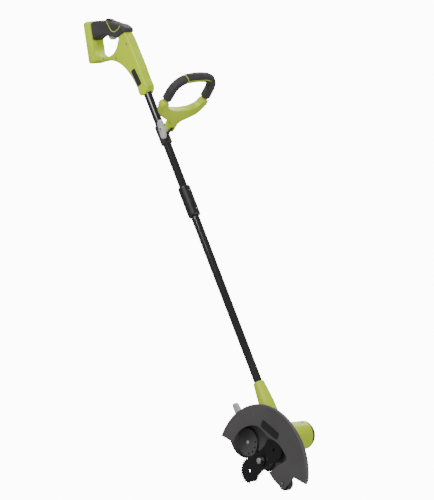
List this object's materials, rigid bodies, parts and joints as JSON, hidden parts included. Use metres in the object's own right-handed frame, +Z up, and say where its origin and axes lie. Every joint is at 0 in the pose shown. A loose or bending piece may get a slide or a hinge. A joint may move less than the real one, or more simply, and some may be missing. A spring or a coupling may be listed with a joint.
{
  "type": "lawn edger",
  "caption": "Cordless stick lawn edger with a rear D handle, tilting front loop, two-piece boom, guarded edging blade, depth wheel and front roller.",
  "frame": {"origin": "centre of the rear grip, where the hand holds the tool", "axes": "+Z up the boom, +Y the front of the tool, +X its right side, where the blade is"},
  "size_m": [0.2054, 0.4013, 1.6418],
  "materials": {
    "lime_plastic": "fine satin grain",
    "grip_rubber": "soft matte",
    "dark_plastic": "fine grain",
    "guard_plastic": "satin grain",
    "black_plastic": "satin",
    "light_plastic": "satin",
    "black_tube": "gloss powder coat",
    "black_steel": "black oxide",
    "belt_rubber": "matte",
    "tyre_rubber": "matte",
    "cast_aluminium": "turned",
    "bright_steel": "zinc plated"
  },
  "bodies": {
    "boom": {"battery_terminals": "black_plastic", "belt_case": "dark_plastic", "belt_case_cover": "dark_plastic", "coupler_screw_1": "bright_steel", "coupler_screw_2": "bright_steel", "coupler_sleeve": "black_plastic", "depth_index_plate": "guard_plastic", "drive_belt": "belt_rubber", "grip_cover": "grip_rubber", "guard": "guard_plastic", "guard_screw_1": "bright_steel", "guard_screw_2": "bright_steel", "handle_clamp_front": "dark_plastic", "handle_clamp_rear": "dark_plastic", "head_housing_front": "lime_plastic", "head_housing_rear": "lime_plastic", "head_screw_1": "bright_steel", "head_screw_2": "bright_steel", "head_screw_3": "bright_steel", "housing_screw_1": "bright_steel", "housing_screw_2": "bright_steel", "housing_screw_3": "bright_steel", "housing_screw_4": "bright_steel", "lower_tube": "black_tube", "motor_can": "bright_steel", "motor_end_cap": "dark_plastic", "pivot_bolt": "bright_steel", "power_lead": "black_plastic", "rear_housing_left": "lime_plastic", "rear_housing_right": "lime_plastic", "roller_axle": "bright_steel", "spindle_bearing_front": "bright_steel", "spindle_bearing_rear": "bright_steel", "trigger_pin": "bright_steel", "trigger_switch": "black_plastic", "upper_tube": "black_tube"},
    "trigger": {"trigger": "light_plastic"},
    "lock_button": {"lock_button": "dark_plastic"},
    "front_handle": {"front_handle": "lime_plastic", "loop_grip": "grip_rubber"},
    "wing_knob": {"wing_knob": "light_plastic"},
    "blade": {"blade": "black_steel", "spindle": "bright_steel", "blade_pulley": "cast_aluminium", "inner_flange": "bright_steel", "outer_flange": "bright_steel", "blade_nut": "bright_steel"},
    "rotor": {"motor_shaft": "bright_steel", "rotor_core": "bright_steel", "motor_pulley": "cast_aluminium"},
    "depth_arm": {"depth_arm": "light_plastic", "depth_lever_grip": "light_plastic", "wheel_axle": "bright_steel"},
    "rear_wheel": {"wheel_hub": "dark_plastic", "wheel_tyre": "tyre_rubber"},
    "front_roller": {"front_roller": "black_plastic"}
  },
  "joints": [
    {"name": "trigger_squeeze", "type": "hinge", "parent": "boom", "child": "trigger", "pos_m": [0, 0.034, -0.03], "axis": [-1, 0, 0], "range_deg": [0, 12], "stiffness_Nm_per_rad": 0.15, "springref_deg": -17.19},
    {"name": "lock_press", "type": "slide", "parent": "boom", "child": "lock_button", "axis": [0, 0, -1], "range_m": [0, 0.004], "stiffness_N_per_m": 400, "springref_m": -0.002},
    {"name": "front_handle_tilt", "type": "hinge", "parent": "boom", "child": "front_handle", "pos_m": [0, 0.088, -0.382], "axis": [1, 0, 0], "range_deg": [-30, 40]},
    {"name": "wing_knob_turn", "type": "hinge", "parent": "boom", "child": "wing_knob", "pos_m": [0, 0.088, -0.382], "axis": [1, 0, 0], "continuous": true},
    {"name": "blade_spin", "type": "hinge", "parent": "boom", "child": "blade", "pos_m": [0.06, 0.016, -1.438], "axis": [1, 0, 0], "continuous": true},
    {"name": "rotor_spin", "type": "hinge", "parent": "boom", "child": "rotor", "pos_m": [0, 0.06, -1.388], "axis": [1, 0, 0], "continuous": true},
    {"name": "depth_swing", "type": "hinge", "parent": "boom", "child": "depth_arm", "pos_m": [0.06, -0.01687, -1.36264], "axis": [1, 0, 0], "range_deg": [0, 40]},
    {"name": "rear_wheel_spin", "type": "hinge", "parent": "depth_arm", "child": "rear_wheel", "pos_m": [0.06, -0.03992, -1.32957], "axis": [1, 0, 0], "continuous": true},
    {"name": "front_roller_spin", "type": "hinge", "parent": "boom", "child": "front_roller", "pos_m": [0.06, 0.09102, -1.54673], "axis": [1, 0, 0], "continuous": true}
  ],
  "couplings": [
    {"joint": "rotor_spin", "follows": "blade_spin", "ratio": 2.4545}
  ]
}
